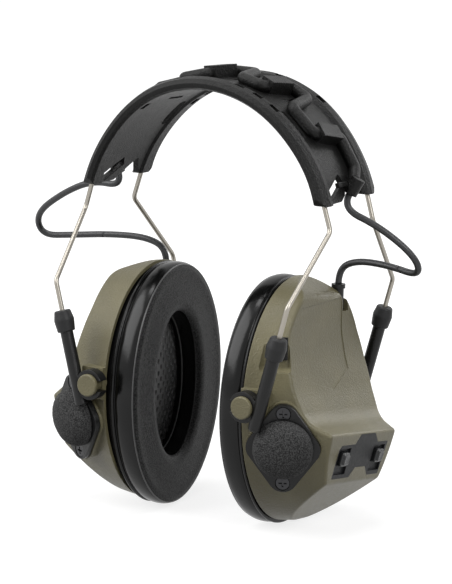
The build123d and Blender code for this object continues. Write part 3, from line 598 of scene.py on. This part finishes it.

# %% [markdown]
# Inside each cushion a woven mesh covers the foam liner. The mesh is a height field: two
# cosine waves multiplied give staggered holes as shallow dips, painted near black: the dark
# foam behind them plus painted shade inside the openings. The cloth crowns a little toward
# the ear. A thin trim ring closes the edge where cushion and plate meet.

# %% Liners
LINER_FACE = 35.5
LINER_BACK = 38.5
LINER_HALF = np.array([32.5, 43.5])
LINER_CENTRE_Z = 51.5
WEAVE_PITCH = np.array([4.4, 5.2])
WEAVE_DEPTH = 0.8
CROWN = 2.4
OPENING = np.array([20.5, 33.5])
WEAVE_EDGE = 0.18
WEAVE_BLEND = 0.30
WEAVE_REACH = 1.2
FRONT_RINGS = np.linspace(0.004, 0.86, 170)
RIM_RINGS = np.linspace(0.88, 1, 5)
LINER_STEPS = 360
BACK_SKIP = 6
TRIM_STEPS = 160
TRIM_RADIUS = 0.45
TRIM_MARGIN = 0.5
TRIM_DEPTH = SEAL_BACK + 0.1


def liner_grid(side):
    """Front: oval rings from the middle out, at x = face - crown * (1 - r^2) clipped at
    the opening, cut by the weave. Back: the same rings in reverse, flat."""
    ring = np.concatenate([FRONT_RINGS, RIM_RINGS])[:, None]
    turn = np.linspace(0, 2 * np.pi, LINER_STEPS, endpoint=False)[None, :]
    y = LINER_HALF[0] * ring * np.cos(turn)
    z = LINER_HALF[1] * ring * np.sin(turn)
    reach = (y / OPENING[0]) ** 2 + (z / OPENING[1]) ** 2
    waves = np.cos(2 * np.pi * y / WEAVE_PITCH[0]) * np.cos(2 * np.pi * z / WEAVE_PITCH[1])
    hole = np.clip((waves - WEAVE_EDGE) / WEAVE_BLEND, 0, 1)
    crown = CROWN * np.clip(1 - reach, 0, 1)
    x = LINER_FACE - crown + WEAVE_DEPTH * hole * (reach < WEAVE_REACH)
    front = np.stack([side * x, y, z + LINER_CENTRE_Z], -1)
    back = front[::-BACK_SKIP].copy()
    back[..., 0] = side * LINER_BACK
    closing_points = 2
    plain = np.ones(back.shape[0] * back.shape[1] + closing_points)
    # The thread share is 0 in the holes; the mesh shader paints those near black, partly as
    # painted shade.
    thread = np.concatenate([(1 - hole).ravel(), plain])
    return np.concatenate([front, back]) * MM, thread


weave, weave_shader = new_finish("woven_mesh", (0.02, 0.02, 0.02), 0.45, shine=0.4)
thread_map = weave.node_tree.nodes.new("ShaderNodeAttribute")
thread_map.attribute_name = "thread"
# Threads light, holes near black: the black is the foam seen through them plus painted shade
# in the openings.
weave_tint = ramp(weave, thread_map.outputs["Fac"], 0.1, 0.8, (0.002,) * 3, (0.14,) * 3)
weave.node_tree.links.new(weave_tint, weave_shader.inputs["Base Color"])
add_bump(weave, weave_shader, object_noise(weave, 2600, 2), 0.6, 0.0001)

for side_name, side in (("left", 1), ("right", -1)):
    grid, thread = liner_grid(side)
    liner = point_outward(skin(side_name + "_liner_mesh", grid, close_ends=True))
    attribute = liner.data.attributes.new("thread", "FLOAT", "POINT")
    attribute.data.foreach_set("value", thread.astype(np.float32))
    liner.data.materials.append(weave)
    finish_piece(liner, side_name + "_cup", "liner_foam", side_name + "_foam_liner")
    turn = np.linspace(0, 2 * np.pi, TRIM_STEPS, endpoint=False)
    edge = np.stack([
        np.full(TRIM_STEPS, side * TRIM_DEPTH),
        (HOLE[0] + TRIM_MARGIN) * np.cos(turn),
        (HOLE[1] + TRIM_MARGIN) * np.sin(turn) + SEAL_CENTRE_Z,
    ], -1) * MM
    trim = ring_cord(side_name + "_opening_trim", edge, TRIM_RADIUS * MM, 8)
    # The trim ring takes the painted highlight grey.
    trim.data.materials.append(seam_trim_highlight)
    finish_piece(trim, side_name + "_cup", "cushion_black")

# %% [markdown]
# The microphones sit under round domes of open-cell foam. A dome is a low cap: its edge
# turns under sharply and its skin is uneven by a few hundredths of a millimetre, which
# a sum of crossed sine waves gives without any random numbers.

# %% Foam domes
MIC_CENTRE = np.array([49.0, -36.6, -16.8 + PIVOT_Z])
MIC_TURN, MIC_TILT = np.radians([67.0, 8.0])
DOME_RADIUS = 12.0
DOME_HEIGHT = 7.5
DOME_LIFT = 0.05
DOME_RINGS = 44
DOME_STEPS = 120
TOP_ANGLE = 0.012
UNEVEN = 0.035

mic_out = np.array([
    np.cos(MIC_TILT) * np.cos(MIC_TURN),
    -np.cos(MIC_TILT) * np.sin(MIC_TURN),
    -np.sin(MIC_TILT),
])
mic_along = np.cross(np.array([0, 0, 1.0]), mic_out)
mic_along /= np.linalg.norm(mic_along)
mic_up = np.cross(mic_out, mic_along)


def dome_grid(side):
    """Point = centre + r * circle direction + h * outward. The profile is a superellipse:
    r = R * sin(q)^0.9 and h = H * cos(q)^0.75, q from the base edge up to the top."""
    q = np.linspace(0.5 * np.pi, TOP_ANGLE, DOME_RINGS)[:, None]
    turn = np.linspace(0, 2 * np.pi, DOME_STEPS, endpoint=False)[None, :]
    radius = DOME_RADIUS * np.sin(q) ** 0.9
    height = DOME_LIFT + (DOME_HEIGHT - 2 * DOME_LIFT) * np.clip(np.cos(q), 0, 1) ** 0.75
    u, v = radius * np.cos(turn), radius * np.sin(turn)
    crossed = np.sin(2.9 * u + 1.3 * v) * np.sin(3.7 * v - 0.8 * u)
    uneven = UNEVEN * (crossed + np.sin(1.7 * u - 2.1 * v))
    grow = 1 + uneven / DOME_RADIUS
    points = MIC_CENTRE + u[..., None] * grow[..., None] * mic_along
    points = points + v[..., None] * grow[..., None] * mic_up
    points = points + (height + uneven * (height > 1))[..., None] * mic_out
    return points * MM * [side, 1, 1]


for side_name, side in (("left", 1), ("right", -1)):
    dome = point_outward(skin(side_name + "_foam_dome", dome_grid(side), close_ends=True))
    dome.data.materials.append(dome_foam)
    finish_piece(dome, side_name + "_cup", "mic_foam", side_name + "_mic_foam")

# %% [markdown]
# Two rubbery keys stand in the panel's pockets. Each has a broad foot and a smaller top,
# both square with soft corners. A superellipse gives that outline: the higher its power,
# the squarer it gets. Rings of it, stacked at rising heights, make the whole key.

# %% Keys
LEDGE = np.array([66.5, 0, -14.5])
CHIN = np.array([62.3, 0, -35.0])
LEDGE_DROP = np.radians(7.5)
KEY_SPACING = 30.0
KEY_PROFILE = np.array([
    (-2.80, 2.80), (-2.70, 2.88), (0.70, 2.88), (0.95, 2.84), (1.05, 2.72), (1.10, 2.50),
    (1.10, 2.28), (1.18, 2.16), (1.30, 2.12), (1.72, 2.06), (1.90, 1.98), (1.98, 1.84),
    (2.00, 1.60), (1.94, 1.30), (1.94, 0.30),
])
KEY_POWER = 7.0
KEY_STEPS = 48

rearward = np.array([0, np.cos(LEDGE_DROP), -np.sin(LEDGE_DROP)])
panel_out = np.cross(CHIN - LEDGE, rearward)
panel_out /= np.linalg.norm(panel_out)
panel_x = rearward - panel_out * (rearward @ panel_out)
panel_x /= np.linalg.norm(panel_x)
panel_y = np.cross(panel_out, panel_x)
panel_middle = (LEDGE + CHIN) / 2 + [0, 0, PIVOT_Z]


def key_grid(place):
    """Ring point = place + a * cos'(t) * x + a * sin'(t) * y + height * outward, where
    cos' and sin' are raised to 2 / power and keep their signs."""
    turn = np.linspace(0, 2 * np.pi, KEY_STEPS, endpoint=False)[None, :]
    across = np.sign(np.cos(turn)) * np.abs(np.cos(turn)) ** (2 / KEY_POWER)
    along = np.sign(np.sin(turn)) * np.abs(np.sin(turn)) ** (2 / KEY_POWER)
    height, half = KEY_PROFILE[:, 0, None], KEY_PROFILE[:, 1, None]
    points = place + (half * across)[..., None] * panel_x
    points = points + (half * along)[..., None] * panel_y
    return (points + (height * np.ones_like(turn))[..., None] * panel_out) * MM


for key, side in (("minus_button", 1), ("plus_button", -1)):
    place = panel_middle + panel_x * side * KEY_SPACING / 2
    cap = point_outward(skin(key + "_key", key_grid(place), close_ends=True))
    cap.data.materials.append(key_grey)
    finish_piece(cap, key, "panel_grey", key)
    print(key, "key at", np.round(place, 1))

# %% [markdown]
# ## Floor and light
# A pale floor fills the view. Seen by the camera or in a reflection it is nearly white,
# and to the rest of the scene it is a plain grey, so that it doesn't flood the dark
# pieces from below. Four large soft lamps stand round and over the headset.

# %% Floor
FLOOR_REACH = 40.0
FLOOR_DROP = 0.0004
FADE_START = 0.12
FADE_END = 0.40
GLOW_NEAR = 0.80
GLOW_FAR = 1.0
FLOOR_GREY = (0.30, 0.30, 0.30, 1)
WHITE = (1, 1, 1, 1)
ROOM_LIGHT = 0.11


def is_seen(tree):
    """1 for camera, glossy and transmission rays."""
    path = tree.nodes.new("ShaderNodeLightPath")
    most = tree.nodes.new("ShaderNodeMath")
    most.operation = "MAXIMUM"
    tree.links.new(path.outputs["Is Camera Ray"], most.inputs[0])
    tree.links.new(path.outputs["Is Glossy Ray"], most.inputs[1])
    both = tree.nodes.new("ShaderNodeMath")
    both.operation = "MAXIMUM"
    tree.links.new(most.outputs[0], both.inputs[0])
    tree.links.new(path.outputs["Is Transmission Ray"], both.inputs[1])
    return both.outputs[0]


floor_finish, floor_shader = new_finish("floor_paper", (0.08, 0.08, 0.08), 0.9)
tree = floor_finish.node_tree
glow = tree.nodes.new("ShaderNodeEmission")
place = tree.nodes.new("ShaderNodeTexCoord")
away = tree.nodes.new("ShaderNodeVectorMath")
away.operation = "LENGTH"
tree.links.new(place.outputs["Object"], away.inputs[0])
fade = tree.nodes.new("ShaderNodeMapRange")
fade.interpolation_type = "SMOOTHSTEP"
fade.inputs["From Min"].default_value = FADE_START
fade.inputs["From Max"].default_value = FADE_END
fade.inputs["To Min"].default_value = GLOW_NEAR
fade.inputs["To Max"].default_value = GLOW_FAR
tree.links.new(away.outputs["Value"], fade.inputs["Value"])
tree.links.new(fade.outputs["Result"], glow.inputs["Strength"])
matt = tree.nodes.new("ShaderNodeBsdfDiffuse")
matt.inputs["Color"].default_value = FLOOR_GREY
seen = tree.nodes.new("ShaderNodeAddShader")
tree.links.new(glow.outputs[0], seen.inputs[0])
tree.links.new(matt.outputs[0], seen.inputs[1])
choose = tree.nodes.new("ShaderNodeMixShader")
tree.links.new(is_seen(tree), choose.inputs[0])
tree.links.new(floor_shader.outputs[0], choose.inputs[1])
tree.links.new(seen.outputs[0], choose.inputs[2])
output = [n for n in tree.nodes if n.type == "OUTPUT_MATERIAL"][0]
tree.links.new(choose.outputs[0], output.inputs["Surface"])

corner = np.array([-1.0, 1.0]) * FLOOR_REACH
floor_x, floor_y = np.meshgrid(corner, corner)
floor_grid = np.stack([floor_x, floor_y, np.full_like(floor_x, -FLOOR_DROP)], -1)
floor = skin("floor", floor_grid, wrap_columns=False)
floor.data.materials.append(floor_finish)

# %% [markdown]
# The room is dim for the light that falls on the headset, and plain white where it is
# seen directly or in a reflection.

# %% Room
world = bpy.data.worlds.new("room")
bpy.context.scene.world = world
world.use_nodes = True
tree = world.node_tree
plain = tree.nodes["Background"]
plain.inputs["Color"].default_value = WHITE
plain.inputs["Strength"].default_value = ROOM_LIGHT
white = tree.nodes.new("ShaderNodeBackground")
white.inputs["Color"].default_value = WHITE
white.inputs["Strength"].default_value = 1.0
choose = tree.nodes.new("ShaderNodeMixShader")
tree.links.new(is_seen(tree), choose.inputs[0])
tree.links.new(plain.outputs[0], choose.inputs[1])
tree.links.new(white.outputs[0], choose.inputs[2])
tree.links.new(choose.outputs[0], tree.nodes["World Output"].inputs["Surface"])

# %% [markdown]
# The key lamp is broad and high at the front left of the picture. A narrow side lamp
# draws a line of light along the outer plates, and two weaker ones lift the top and
# the far edges.

# %% Lamps
def soft_lamp(name, place, size, power):
    """A rectangular area lamp that looks at the middle of the headset."""
    lamp = bpy.data.lights.new(name, "AREA")
    lamp.shape = "RECTANGLE"
    lamp.size, lamp.size_y = size
    lamp.energy = power
    holder = bpy.data.objects.new(name, lamp)
    holder.location = place
    aim = Vector(AIM.tolist()) - holder.location
    holder.rotation_euler = aim.to_track_quat("-Z", "Y").to_euler()
    bpy.context.scene.collection.objects.link(holder)


soft_lamp("key", (-0.85, -0.90, 1.05), (1.30, 1.30), 26)
soft_lamp("side", (1.20, -0.55, 0.85), (0.35, 0.7), 11)
soft_lamp("top", (0.0, 0.0, 1.5), (0.7, 0.7), 12)
soft_lamp("back", (0.55, 1.30, 0.85), (0.4, 0.8), 6)

bpy.context.scene.view_settings.view_transform = "Standard"
